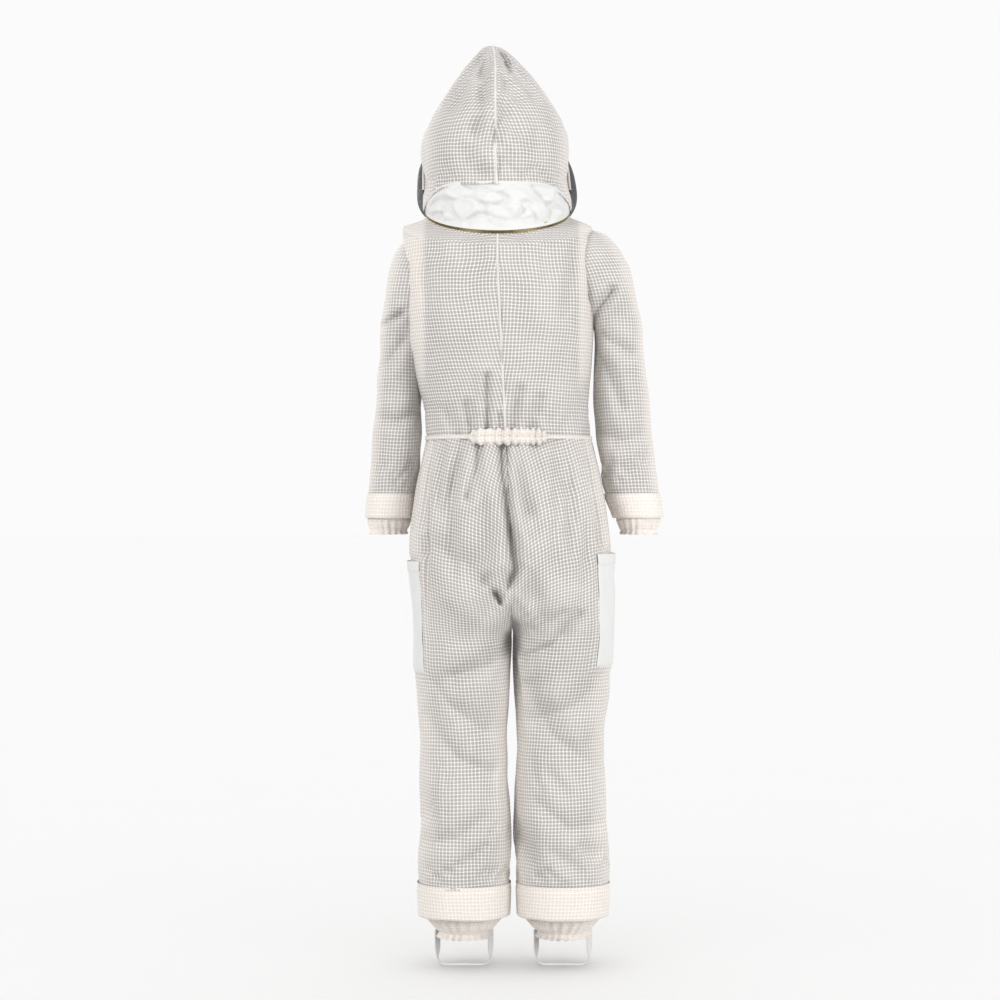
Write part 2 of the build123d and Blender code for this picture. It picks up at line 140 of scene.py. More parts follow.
def oval(centre, reach, front, back, phi, h, power=SQUARED):
    """Points of a slightly squared oval; phi is 0 at the reach side, a quarter turn back at the back."""
    x = centre + reach * signed_power(np.cos(phi), power)
    y = (front + back) / 2 + (back - front) / 2 * signed_power(np.sin(phi), power)
    return np.stack(np.broadcast_arrays(x, y, h + SOLE), -1)


def zip_x(h):
    t = np.clip((ZIP_TOP[1] - h) / (ZIP_TOP[1] - ZIP_FOOT[1]), 0, 1)
    return ZIP_TOP[0] + t * (ZIP_FOOT[0] - ZIP_TOP[0])


def collar_height(y):
    return COLLAR_H - np.where(y > 0, y * BACK_TILT, -y * FRONT_TILT)


def heights(low, high):
    return np.linspace(low, high, int(round((high - low) / COARSE)) + 1)


def unit(v):
    return v / np.maximum(np.linalg.norm(v, axis=-1, keepdims=True), 1e-9)


def shares(count):
    """Rows' shares of the way up or down a grid."""
    return np.linspace(0, 1, count)[:, None]


def normals(P, side=1.0):
    return unit(np.cross(np.gradient(P, axis=1), np.gradient(P, axis=0)) * side)


def joined(P):
    """A tube's grid, whose last column lies on its first."""
    P[:, -1] = P[:, 0]
    return P


def gauss(x, middle, width):
    return np.exp(-(((x - middle) / width) ** 2))


def refined(P, k, axis):
    """Catmull-Rom division of a grid along one axis."""
    P = np.moveaxis(P, axis, 0)
    padded = np.concatenate([2 * P[:1] - P[1:2], P, 2 * P[-1:] - P[-2:-1]])
    a, b, c, d = padded[:-3], padded[1:-2], padded[2:-1], padded[3:]
    out = []
    for j in range(k):
        t = j / k
        out.append(
            0.5 * (2 * b + (c - a) * t + (2 * a - 5 * b + 4 * c - d) * t**2 + (3 * b - a - 3 * c + d) * t**3)
        )
    out = np.stack(out, 1).reshape((-1,) + P.shape[1:])
    return np.moveaxis(np.concatenate([out, P[-1:]]), 0, axis)


def fine(P, k=FINE):
    return refined(refined(P, k, 0), k, 1)


def pattern(P, slack=0.0):
    """The flat cloth of a grid: across from its middle column and up from the ground, in metres."""
    mid = P.shape[1] // 2
    across = np.linalg.norm(np.diff(P, axis=1), axis=-1)
    u = np.concatenate([np.zeros((len(P), 1)), np.cumsum(across, 1)], 1)
    u -= u[:, mid : mid + 1]
    up = np.linalg.norm(np.diff(P, axis=0), axis=-1)
    v = P[:1, :, 2] - SOLE + np.concatenate([np.zeros((1, P.shape[1])), np.cumsum(up, 0)])
    return np.stack([u, v], -1) * (1 + slack)


def welded(P, closed_rows=None):
    """Vertex numbers of a grid whose closed rows end where they start."""
    rows, cols = P.shape[:2]
    index = np.arange(rows * cols).reshape(rows, cols)
    if closed_rows is not None:
        index[closed_rows, -1] = index[closed_rows, 0]
    used, index = np.unique(index, return_inverse=True)
    return used, index.reshape(rows, cols)


def quads(index, flip=False):
    f = np.stack([index[:-1, :-1], index[:-1, 1:], index[1:, 1:], index[1:, :-1]], -1).reshape(-1, 4)
    return f[:, ::-1] if flip else f


def wobble(P, size, seed):
    """Smooth noise at each point, about -1 to 1."""
    flat = P.reshape(-1, 3) / size
    return np.array([noise.noise(Vector((x + seed, y - seed, z))) for x, y, z in flat]).reshape(P.shape[:-1])


def linked(name, data):
    obj = bpy.data.objects.new(name, data)
    bpy.context.collection.objects.link(obj)
    return obj


def object_from(name, verts, faces, material=None):
    mesh = bpy.data.meshes.new(name)
    mesh.from_pydata([tuple(v) for v in verts], [], [tuple(int(i) for i in f) for f in faces])
    mesh.validate()
    mesh.update()
    obj = linked(name, mesh)
    if material is not None:
        mesh.materials.append(material)
    mesh.polygons.foreach_set("use_smooth", [True] * len(mesh.polygons))
    return obj


def cloth_piece(name, P, material, flat, closed_rows=None, flip=False, band_and_edge_light=None):
    """A grid as a cloth object, with its flat pattern as UVs; the last argument is how cream each point
    looks, from denser bound bands and from painted edge light on the outer sides of tubes.
    """
    used, index = welded(P, closed_rows)
    obj = object_from(name, P.reshape(-1, 3)[used], quads(index, flip), material)
    layer = obj.data.uv_layers.new(name="pattern")
    corner = np.arange(P.shape[0] * P.shape[1]).reshape(P.shape[:2])
    corners = quads(corner, flip).reshape(-1)
    layer.data.foreach_set("uv", flat.reshape(-1, 2)[corners].astype(np.float32).reshape(-1))
    # per-point cream: real bound bands, and painted edge light on the outer sides of tubes
    if band_and_edge_light is not None:
        values = np.broadcast_to(band_and_edge_light, P.shape[:2]).reshape(-1)[used]
        attribute = obj.data.attributes.new("band_and_edge_light", "FLOAT", "POINT")
        attribute.data.foreach_set("value", values.astype(np.float32))
    return obj


def declare(flat):
    """Works out a flat pattern's extent and area, and does nothing more with them."""
    low, high = flat.reshape(-1, 2).min(0), flat.reshape(-1, 2).max(0)
    width, length = (float(v) for v in high - low)
    a, b = flat[1:, 1:] - flat[:-1, :-1], flat[1:, :-1] - flat[:-1, 1:]
    area = float(np.abs(a[..., 0] * b[..., 1] - a[..., 1] * b[..., 0]).sum() / 2)
    area = min(max(area, 0.301 * width * length), width * length)


def fitted(name, P, material, body, nodes=(), held=None, flat=None, rows=ALL_ROWS, flip=False,
           band_and_edge_light=None):
    """A piece that rides on one body in place of CAD nodes; where held is given, its flat pattern's extent
    and area are worked out.
    """
    flat = pattern(P) if flat is None else flat
    piece = cloth_piece(name, P, material, flat, rows, flip, band_and_edge_light)
    if nodes:
        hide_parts(*nodes)
    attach(piece, body)
    if held:
        declare(flat)


def from_line(P, path):
    """Distance of each point from a line of (x, height) points, seen from the back, in metres."""
    here = np.stack([P[..., 0], P[..., 2] - SOLE], -1)
    best = np.full(P.shape[:-1], 9.0)
    for a, b in zip(path[:-1], path[1:]):
        t = np.clip(((here - a) @ (b - a)) / ((b - a) @ (b - a)), 0, 1)
        best = np.minimum(best, np.linalg.norm(here - a - t[..., None] * (b - a), axis=-1))
    return best


def creased(P, creases, middle=0.0):
    """Presses folds into the back of a grid, behind the depth called middle.
    Each fold is (line, depth, half width), and a depth below 0 is a ridge."""
    P = P.copy()
    back = smooth(middle, middle + 0.05, P[..., 1])
    push = np.zeros(P.shape[:2])
    for line, depth, width in creases:
        d = from_line(P, np.array(line) / 1000) / (width / 1000)
        push += 1.35 * (depth / 1000) * (np.exp(-(np.abs(d) ** 1.3)) - 0.50 * gauss(d, 2.5, 1.4))
    highest = 0.0065
    P[..., 1] -= back * np.where(push > 0, push, highest * np.tanh(push / highest))
    return P


def painted_edge_light(P, s, strength, both=0.0):
    """Painted edge light: how much cream is painted on the net towards the outer sides of a tube, for the
    brighter look of net seen edge-on with only more net behind it.
    """
    x = s * P[..., 0]
    low, high = x.min(axis=1, keepdims=True), x.max(axis=1, keepdims=True)
    across = 2 * (x - low) / np.maximum(high - low, 1e-6) - 1
    return strength * np.maximum(smooth(0.50, 0.98, across), both * smooth(0.50, 0.98, -across))


# ---- settling cloth over the wearer's shape ----
def settle(P, closed_rows, pinned, slack, inset, side, cap, seed, frames=30):
    """The grid as cloth a little too large for its place, settled over a shape inset from it.
    slack is (round, along): how much longer the cut cloth is than the way it has to go; cap is the
    farthest that a point may move."""
    n = normals(P, side)
    start = P + n * (0.0025 * wobble(P, 0.06, seed))[..., None]
    used, index = welded(P, closed_rows)
    faces = quads(index, side < 0)
    cloth = object_from("settling", start.reshape(-1, 3)[used], faces)
    middle = P.mean(axis=1, keepdims=True)
    cut = middle + (P - middle) * (1 + slack[0], 1 + slack[0], 1)
    cut[..., 2] = P[..., 2] * (1 + slack[1])
    cloth.shape_key_add(name="worn")
    key = cloth.shape_key_add(name="cut")
    key.data.foreach_set("co", cut.reshape(-1, 3)[used].reshape(-1).astype(np.float32))
    inner = object_from("wearer", (P - n * inset).reshape(-1, 3)[used], faces)
    inner.modifiers.new("Collision", "COLLISION")
    inner.collision.thickness_outer = 0.002
    inner.collision.damping = 0.6
    inner.collision.cloth_friction = 12
    group = cloth.vertex_groups.new(name="pin")
    group.add([int(i) for i in np.nonzero(pinned.reshape(-1)[used])[0]], 1.0, "REPLACE")
    modifier = cloth.modifiers.new("Cloth", "CLOTH")
    s = modifier.settings
    s.quality, s.mass, s.air_damping = 6, 0.12, 2.0
    s.tension_stiffness = s.compression_stiffness = 15
    s.shear_stiffness, s.bending_stiffness = 3, 0.30
    s.tension_damping = s.compression_damping = s.shear_damping = 6
    s.vertex_group_mass = "pin"
    s.rest_shape_key = key
    s.effector_weights.gravity = 0.35
    modifier.collision_settings.distance_min = 0.002
    modifier.collision_settings.collision_quality = 2
    modifier.point_cache.frame_start, modifier.point_cache.frame_end = 1, frames
    scene = bpy.context.scene
    scene.frame_start, scene.frame_end = 1, frames
    for f in range(1, frames + 1):
        scene.frame_set(f)
    evaluated = cloth.evaluated_get(bpy.context.evaluated_depsgraph_get())
    settled = np.array([v.co for v in evaluated.data.vertices], float)
    for obj in (cloth, inner):
        mesh = obj.data
        bpy.data.objects.remove(obj)
        bpy.data.meshes.remove(mesh)
    scene.frame_set(1)
    move = settled[index] - P
    length = np.linalg.norm(move, axis=-1, keepdims=True)
    move *= np.minimum(1, cap / np.maximum(length, 1e-9))
    out = (move * n).sum(-1)
    swell = out.mean(axis=1)
    swell = np.convolve(np.pad(swell, 3, mode="edge"), np.ones(7) / 7, mode="valid")
    move -= n * (swell[:, None] * ~pinned)[..., None]
    return P + GAIN * move


# ---- materials ----
class Nodes:
    """Short ways to add and link shader nodes."""

    def __init__(self, tree):
        self.tree = tree

    def add(self, kind, **values):
        node = self.tree.nodes.new(kind)
        for key, value in values.items():
            setattr(node, key, value)
        return node

    def link(self, a, b):
        self.tree.links.new(a, b)

    def place(self):
        return self.add("ShaderNodeTexCoord").outputs["Object"]

    def flat_place(self):
        """The two distances across the flat pattern, in metres."""
        split = self.add("ShaderNodeSeparateXYZ")
        self.link(self.add("ShaderNodeUVMap", uv_map="pattern").outputs[0], split.inputs[0])
        return split.outputs[0], split.outputs[1]

    def math(self, operation, a, b=None, c=None):
        node = self.add("ShaderNodeMath", operation=operation)
        for socket, value in zip(node.inputs, (a, b, c)):
            if value is None:
                continue
            if isinstance(value, (int, float)):
                socket.default_value = value
            else:
                self.link(value, socket)
        return node.outputs[0]

    def step(self, value, low, high, to_low=0.0, to_high=1.0):
        node = self.add("ShaderNodeMapRange", interpolation_type="SMOOTHSTEP")
        self.link(value, node.inputs["Value"])
        for key, number in (("From Min", low), ("From Max", high), ("To Min", to_low), ("To Max", to_high)):
            node.inputs[key].default_value = number
        return node.outputs["Result"]

    def mix(self, factor, a, b):
        node = self.add("ShaderNodeMix", data_type="RGBA")
        for socket, value in ((node.inputs[0], factor), (node.inputs[6], a), (node.inputs[7], b)):
            if isinstance(value, tuple):
                socket.default_value = (*value, 1)
            elif isinstance(value, (int, float)):
                socket.default_value = value
            else:
                self.link(value, socket)
        return node.outputs[2]

    def noise(self, vector, scale, detail=3.0, roughness=0.5):
        node = self.add("ShaderNodeTexNoise")
        self.link(vector, node.inputs["Vector"])
        node.inputs["Scale"].default_value = scale
        node.inputs["Detail"].default_value = detail
        node.inputs["Roughness"].default_value = roughness
        return node.outputs["Fac"]

    def attribute(self, name):
        return self.add("ShaderNodeAttribute", attribute_name=name).outputs["Fac"]

    def bump(self, shader, height, distance, strength=1.0, after=None):
        node = self.add("ShaderNodeBump")
        node.inputs["Distance"].default_value = distance
        node.inputs["Strength"].default_value = strength
        self.link(height, node.inputs["Height"])
        if after is not None:
            self.link(after, node.inputs["Normal"])
        if shader is not None:
            self.link(node.outputs[0], shader.inputs["Normal"])
        return node.outputs[0]

    def cell(self, value, pitch):
        """Distance from the middle of the nearest repeat, 0 to 0.5."""
        turns = self.math("DIVIDE", value, pitch)
        return self.math("ABSOLUTE", self.math("SUBTRACT", self.math("FRACT", turns), 0.5))


def new_material(name):
    material = bpy.data.materials.new(name)
    material.use_nodes = True
    return material, material.node_tree.nodes["Principled BSDF"], Nodes(material.node_tree)


def shaded(colour, share):
    return tuple(share * c for c in colour)


WHITE, KNOT, HOLE = (0.650, 0.628, 0.603), (0.730, 0.708, 0.682), (0.306, 0.287, 0.275)
CREAM, LINT = (0.86, 0.79, 0.72), (0.70, 0.68, 0.65)
NET_PITCH, VEIL_PITCH = 0.0072, 0.0022


def net_cloth(name):
    """Outer net of the three-layer mesh: white knots on a square net over a greyer spacer layer."""
    material, shader, n = new_material(name)
    place = n.place()
    drift = n.math("MULTIPLY", n.math("SUBTRACT", n.noise(place, 9.0), 0.5), 0.010)
    fx, fy = (n.cell(n.math("ADD", along, drift), NET_PITCH) for along in n.flat_place())
    distance = n.math("SQRT", n.math("ADD", n.math("MULTIPLY", fx, fx), n.math("MULTIPLY", fy, fy)))
    knot = n.step(distance, 0.34, 0.14)
    yarn = n.step(n.math("MINIMUM", fx, fy), 0.17, 0.06)
    fibre = n.noise(place, 900.0, 2.0)
    patch = n.noise(place, 14.0, 3.0)
    hole = n.mix(patch, shaded(HOLE, 0.80), shaded(HOLE, 1.30))
    colour = n.mix(n.math("MULTIPLY", yarn, 0.62), hole, WHITE)
    colour = n.mix(knot, colour, KNOT)
    # cream of denser bands, and painted edge light towards the outer sides of tubes
    colour = n.mix(n.math("MULTIPLY", n.attribute("band_and_edge_light"), 0.72), colour, CREAM)
    colour = n.mix(n.step(fibre, 0.35, 0.75, 0.0, 0.10), colour, LINT)
    n.link(colour, shader.inputs["Base Color"])
    height = n.math("ADD", n.math("MULTIPLY", yarn, 0.55), n.math("MULTIPLY", knot, 0.6))
    rough = n.bump(None, height, 0.0011, 0.8)
    n.bump(shader, fibre, 0.0003, 0.5, rough)
    shader.inputs["Roughness"].default_value = 0.82
    shader.inputs["Sheen Weight"].default_value = 0.25
    shader.inputs["Sheen Roughness"].default_value = 0.5
    return material


def woven(name, colour, pitch=0.0011, blotch=0.06, bump=0.0002, roughness=0.8, ribs=0.0):
    """Plain weave, with a little unevenness of colour; ribs adds soft gathers along the pattern's length,
    with a painted highlight on their crests.
    """
    material, shader, n = new_material(name)
    place = n.place()
    across, up = n.flat_place()
    fx, fy = n.cell(across, pitch), n.cell(up, pitch)
    weave = n.math("ADD", n.step(fx, 0.5, 0.1), n.step(fy, 0.5, 0.1))
    patch = n.noise(place, 22.0, 4.0, 0.6)
    fibre = n.noise(place, 700.0, 2.0)
    shade = n.mix(n.step(patch, 0.3, 0.7), shaded(colour, 1 - blotch), colour)
    shade = n.mix(n.math("MULTIPLY", fibre, 0.14), shade, shaded(colour, 0.86))
    height = n.math("ADD", n.math("MULTIPLY", weave, 0.5), n.math("MULTIPLY", fibre, 0.4))
    if ribs:
        rib = n.step(n.cell(across, ribs), 0.42, 0.12)
        # painted highlight: the rib crests are made a little lighter
        shade = n.mix(n.math("MULTIPLY", rib, 0.10), shade, shaded(colour, 1.12))
        height = n.math("ADD", height, n.math("MULTIPLY", rib, 3.0))
    n.link(shade, shader.inputs["Base Color"])
    n.bump(shader, height, bump, 0.9)
    shader.inputs["Roughness"].default_value = roughness
    shader.inputs["Sheen Weight"].default_value = 0.2
    return material


def hook_and_loop():
    """Both halves of the closure: a dense pile of fine fibres, uneven in colour from place to place."""
    colour = (0.64, 0.64, 0.63)
    material, shader, n = new_material("hook_and_loop")
    place = n.place()
    fibre, patch = n.noise(place, 1400.0, 3.0, 0.6), n.noise(place, 30.0, 3.0)
    shade = n.mix(patch, shaded(colour, 0.92), colour)
    shade = n.mix(n.math("MULTIPLY", fibre, 0.25), shade, shaded(colour, 0.78))
    n.link(shade, shader.inputs["Base Color"])
    n.bump(shader, fibre, 0.0009, 0.8)
    shader.inputs["Roughness"].default_value = 0.95
    return material


def veil_net():
    """Black fencing veil: a fine square net, partly see-through between its threads."""
    material, shader, n = new_material("veil_net")
    fx, fy = (n.cell(along, VEIL_PITCH) for along in n.flat_place())
    thread = n.step(n.math("MINIMUM", fx, fy), 0.20, 0.12)
    colour = n.mix(n.noise(n.place(), 25.0), (0.010, 0.010, 0.011), (0.024, 0.024, 0.026))
    n.link(colour, shader.inputs["Base Color"])
    n.bump(shader, thread, 0.0004, 0.7)
    n.link(n.step(thread, 0.0, 1.0, 0.62, 1.0), shader.inputs["Alpha"])
    shader.inputs["Roughness"].default_value = 0.55
    return material


def brass():
    colour = (0.40, 0.31, 0.13)
    material, shader, n = new_material("zip_brass")
    place = n.place()
    wear, scratch = n.noise(place, 120.0, 4.0), n.noise(place, 900.0, 2.0)
    n.link(n.mix(wear, shaded(colour, 0.72), colour), shader.inputs["Base Color"])
    n.link(n.step(wear, 0.2, 0.8, 0.26, 0.48), shader.inputs["Roughness"])
    n.bump(shader, scratch, 0.00008, 0.6)
    shader.inputs["Metallic"].default_value = 1.0
    return material


NET = net_cloth("mesh_cloth")
BINDING = woven("mesh_binding", (0.60, 0.575, 0.545), pitch=0.0016, blotch=0.10)
POLYCOTTON = woven("white_cloth", (0.60, 0.60, 0.592), pitch=0.0008, blotch=0.03, bump=0.00012,
                   roughness=0.72)
ELASTIC = woven("elastic", (0.84, 0.84, 0.82), pitch=0.0012, ribs=0.0024, bump=0.0004)
VEIL = veil_net()
TAPE = woven("zip_tape", (0.36, 0.31, 0.17), pitch=0.0010, blotch=0.10)
HOOK = hook_and_loop()
BRASS = brass()


# ---- folds, as (line of (x, height), depth, half width) in millimetres ----
WAIST_FOLDS = (
    (((19, 1052), (19, 1110), (20, 1165)), 8, 6), (((-30, 1052), (-34, 1100), (-45, 1140)), 6, 7),
    (((48, 1052), (60, 1110)), 6, 7), (((-66, 1052), (-84, 1120)), 5, 8), (((78, 1052), (98, 1100)), 4, 8),
    (((-5, 1052), (-4, 1090)), 5, 5),
)
SEAT_FOLDS = (
    (((-6, 1046), (-8, 968), (-15, 934), (-23, 879), (-33, 790), (-14, 738)), 17, 9),
    (((6, 1040), (3, 950), (-4, 870), (-12, 800)), -8, 11), (((4, 741), (-6, 724)), 22, 8),
    (((-6, 724), (-18, 704), (-36, 682)), 12, 7), (((20, 765), (4, 741)), 10, 10),
    (((22, 764), (60, 800), (112, 832)), 7, 18), (((-20, 700), (30, 700), (90, 740)), -7, 22),
    (((-28, 655), (-10, 628), (35, 596), (85, 580)), 12, 15),
    (((-36, 684), (-75, 668), (-125, 705)), 9, 14), (((-45, 650), (-70, 640), (-100, 655)), -8, 13),
    (((-30, 650), (-52, 618), (-100, 640), (-160, 700)), 13, 13),
    (((33, 1044), (40, 985), (58, 930)), 9, 8), (((60, 1044), (85, 960), (105, 900)), 6, 12),
    (((-34, 1044), (-44, 960), (-60, 900)), 8, 10), (((-62, 1044), (-90, 965)), 6, 10),
    (((-90, 1044), (-140, 950)), 4, 14), (((150, 600), (90, 520), (30, 470)), 8, 18),
    (((140, 500), (80, 420), (20, 390)), 6, 16), (((-210, 590), (-150, 520), (-70, 490)), 8, 18),
    (((-60, 560), (-110, 460), (-190, 400)), 7, 18), (((30, 300), (80, 260), (150, 250)), 5, 14),
    (((-80, 330), (-140, 280), (-200, 290)), 5, 14),
)
HOOD_FOLDS = (
    (((-6, 1806), (-14, 1785), (-24, 1762)), 12, 6),
    (((2, 1800), (-1, 1767), (7, 1692), (25, 1610), (14, 1580)), -8, 10),
    (((16, 1740), (24, 1690), (40, 1640)), 7, 12), (((-12, 1740), (-8, 1690), (4, 1620)), 6, 9),
    (((20, 1672), (60, 1668), (90, 1655), (104, 1610)), -6, 13), (((75, 1785), (95, 1750)), 6, 10),
    (((-40, 1790), (-70, 1765), (-86, 1740)), 6, 9), (((-45, 1700), (-75, 1650), (-70, 1600)), 6, 14),
    (((60, 1600), (55, 1570), (30, 1550)), 5, 11),
)
SLEEVE_FOLDS = (
    (((250, 1266), (225, 1272), (190, 1292)), 10, 6), (((186, 1240), (215, 1200), (240, 1180)), 6, 10),
    (((160, 1100), (200, 1080), (240, 1090)), 6, 10), (((-190, 1286), (-226, 1336)), 11, 8),
    (((-190, 1270), (-225, 1235), (-262, 1215)), 8, 10),
    (((-188, 1240), (-220, 1180), (-245, 1110)), 8, 10),
    (((-205, 1060), (-250, 1040), (-300, 1060)), 6, 11),
)

# Patch pockets as (low, high, nearest, farthest): heights, then distances round from the side line.
POCKETS = {
    "leg_left": (0.583, 0.805, -0.082, 0.072), "leg_right": (0.598, 0.820, -0.062, 0.094),
    "torso_left": (1.205, 1.345, -0.168, -0.056),
}
smooth_grids = {}


def flattened(Q, P, place):
    """Lets settled cloth lie flat under a pocket, on the smooth grid that the pocket is cut from."""
    smooth_grids[place] = P
    if place not in POCKETS:
        return Q
    low, high, near, far = POCKETS[place]
    h, u = P[..., 2] - SOLE, pattern(P)[..., 0]
    soft = 0.020
    inside = (smooth(low - soft, low, h) * smooth(high + soft, high, h)
              * smooth(near - soft, near, u) * smooth(far + soft, far, u))
    return Q + (P - Q) * inside[..., None]


# ---- bodice ----
YOKE = 1.435  # above this height the cloth lies on the shoulders
ZIP_GAP = 0.030  # turn that the cloth leaves open for the front zip


def torso_grid(side):
    """One half of the bodice, from the front zip round the side to the centre back, up to the collar zip."""
    s = SIDES[side]
    phi = np.linspace(ZIP_GAP - QUARTER, QUARTER, 48)[None, :]
    ring = np.stack([s * COLLAR_R * np.cos(phi), COLLAR_R * np.sin(phi)], -1)
    top = collar_height(ring[..., 1]) - COLLAR_GAP
    v = np.linspace(0, 1, 42)
    v = (v + 0.5 * v * (1 - v))[:, None]
    low = WAIST - 0.004
    h = low + (top - low) * v
    left, right, front, back = stations(TORSO, h)
    centre = zip_x(h)
    P = oval(centre, (left if s > 0 else right) - centre, front, back, phi, h)
    P[..., :2] += (ring - P[..., :2]) * smooth(0.945, 1.0, v)[..., None]
    return P


def armhole_band(P):
    """Where the bodice is bound along its armhole edge: a denser cream band at each side."""
    h = P[..., 2] - SOLE
    x = P[..., 0]
    edge = np.where(x > 0, smooth(0.136, 0.150, x), smooth(-0.154, -0.166, x))
    return 0.50 * edge * smooth(1.12, 1.19, h) * smooth(-0.02, 0.03, P[..., 1])


torso_grids = {}
for side, s in SIDES.items():
    P = torso_grid(side)
    pinned = P[..., 2] - SOLE > YOKE
    pinned[:1], pinned[-2:] = True, True
    pinned[:, :1], pinned[:, -1:] = True, True
    settled = settle(P, None, pinned, (0.085, 0.045), 0.014, s, 0.018, 3.0 + s)
    Q, flat = flattened(fine(settled), fine(P), f"torso_{side}"), pattern(fine(P), 0.03)
    Q = creased(Q, WAIST_FOLDS)
    torso_grids[side] = Q
    nodes = (f"bodice_front_{side}", f"bodice_back_{side}")
    fitted(f"bodice_{side}_cloth", Q, NET, "torso", nodes, "hung", flat, None, s < 0,
           armhole_band(Q))


# ---- trousers ----
FORK = CROTCH + 0.004


def trouser_grid(side):
    """Half of the seat, whose edges run down the centre seams and meet at the crotch to close the leg."""
    s = SIDES[side]
    h = heights(0.160, WAIST + 0.002)[:, None]
    left, right, front, back = stations(SEAT, h)
    outer = left if s > 0 else right
    mid, reach, leg_front, leg_back = stations(LEGS[side], h)
    share = smooth(0.80, CROTCH, h)
    legs = smooth(0.80, 0.70, h)
    centre_seat = np.where(h > 0.8, zip_x(h), SEAT_X)
    centre = centre_seat + share * (mid - centre_seat)
    outer = outer + legs * (mid + s * reach - outer)
    front, back = front + legs * (leg_front - front), back + legs * (leg_back - back)
    reach = outer - centre
    inside = np.clip((centre - centre_seat) / reach, 0, 1)
    inside = np.where(h < FORK, 1.0, inside)
    end = math.pi - np.arccos(inside ** (1 / SQUARED))
    gap = ZIP_GAP * smooth(0.79, 0.82, h)
    t = np.linspace(0, 1, 46)[None, :]
    phi = -(end - gap) + t * (2 * end - gap)
    return oval(centre, reach, front, back, phi, h), h[:, 0] < FORK


def limb_pieces(name, side, P, Q, flat, closed, band_and_edge_light, cut):
    """The upper and lower cloth of a limb, on both sides of the row nearest to one height."""
    split = FINE * int(np.argmin(np.abs(P[:, 0, 2] - SOLE - cut)))
    for label, rows in (("upper", slice(split, None)), ("lower", slice(0, split + 1))):
        piece = cloth_piece(f"{name}_{label}_{side}_cloth", Q[rows], NET, flat[rows],
                            closed[rows], SIDES[side] < 0, band_and_edge_light[rows])
        declare(flat[rows])
        yield piece


def leg_pieces(side):
    s = SIDES[side]
    P, closed = trouser_grid(side)
    pinned = np.zeros(P.shape[:2], bool)
    pinned[:2], pinned[-1:] = True, True
    pinned[~closed, 0] = pinned[~closed, -1] = True
    settled = settle(P, closed, pinned, (0.120, 0.060), 0.018, s, 0.024, 7.0 + s, 34)
    settled[closed, -1] = settled[closed, 0]
    Q = flattened(creased(fine(settled), SEAT_FOLDS, -0.02), fine(P), f"leg_{side}")
    flat = pattern(fine(P), 0.04)
    closed_fine = np.arange(len(Q)) < FINE * closed.sum() - FINE + 1
    Q[:, -1] = np.where(closed_fine[:, None], Q[:, 0], Q[:, -1])
    under_pull = (gauss(Q[..., 0], SEAT_X, 0.016) * (Q[..., 1] < 0)
                  * smooth(0.735, 0.765, Q[..., 2] - SOLE) * smooth(0.835, 0.812, Q[..., 2] - SOLE))
    Q[..., 1] += 0.0045 * under_pull
    legs_apart = smooth(CROTCH + 0.03, CROTCH - 0.10, Q[:, :1, 2] - SOLE)
    # painted edge light on the leg's outer side, and on its inner side where the legs part
    edge = painted_edge_light(Q, s, 0.42, legs_apart)
    upper, lower = limb_pieces("trouser", side, P, Q, flat, closed_fine, edge, KNEE_SPLIT)
    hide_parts(f"seat_front_{side}", f"seat_back_{side}", f"leg_upper_{side}")
    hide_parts(f"leg_lower_{side}")
    hip_blend(upper, side)
    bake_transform(lower)


def hip_blend(piece, side):
    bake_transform(piece)


for side in SIDES:
    leg_pieces(side)


# ---- sleeves ----
def sleeve_grid(side):
    s = SIDES[side]
    h = heights(0.925, ARMS[side][-1][0] / 1000)[:, None]
    mid, reach, front, back = stations(ARMS[side], h)
    phi = np.linspace(-math.pi, math.pi, 33)[None, :]
    return oval(mid, s * reach, front, back, phi, h)


def sleeve_pieces(side):
    s = SIDES[side]
    P = sleeve_grid(side)
    h = P[..., 2] - SOLE
    pinned = (h < 0.944) | (h > 1.40)
    settled = settle(P, ALL_ROWS, pinned, (0.130, 0.065), 0.016, s, 0.022, 12.0 + s, 34)
    Q, flat = joined(creased(fine(settled), SLEEVE_FOLDS, -0.07)), pattern(fine(P), 0.045)
    closed = np.ones(len(Q), bool)
    # painted edge light on both sides of the sleeve
    upper, lower = limb_pieces("sleeve", side, P, Q, flat, closed, painted_edge_light(Q, s, 0.55, 1.0), ELBOW_SPLIT)
    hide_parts(f"sleeve_head_{side}", f"sleeve_upper_{side}")
    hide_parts(f"sleeve_lower_{side}")
    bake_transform(upper)
    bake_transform(lower)


for side in SIDES:
    sleeve_pieces(side)


# ---- bands, hems and gathered cuffs ----
def hem(name, rows, low, high, body, node, seed, s):
    """The doubled hem of a tube, slightly rumpled and flared; its top edge lies close on the cloth."""
    t = shares(25)
    h = low + (high - low) * t
    mid, reach, front, back = stations(rows, h)
    phi = np.linspace(-math.pi, math.pi, 145)[None, :]
    P = oval(mid, s * reach, front, back, phi, h)
    n = normals(P, s)
    rumple = joined(0.0020 * (0.5 + 0.5 * wobble(P * (1, 1, 0.5), 0.035, seed)))
    fold = -0.0016 * smooth(0.05, 0.0, t)
    stitch = -0.0009 * gauss(t, 0.90, 0.03)
    P = P + n * (0.0024 + (0.0004 + 0.6 * rumple) * smooth(1.0, 0.75, t) + fold + stitch)[..., None]
    P[..., 2] += 0.0022 * wobble(P * (1, 1, 0), 0.060, seed) * (1 - t)
    fitted(name, joined(P), NET, body, (node,), "stretched", flip=s < 0, band_and_edge_light=0.80)


CUFF_PROFILE = ((0, 0, 0.2), (0.30, 0.12, 0.7), (0.60, 0.62, 0.9), (0.80, 1.0, 0.35), (1, 0.84, 1.15))


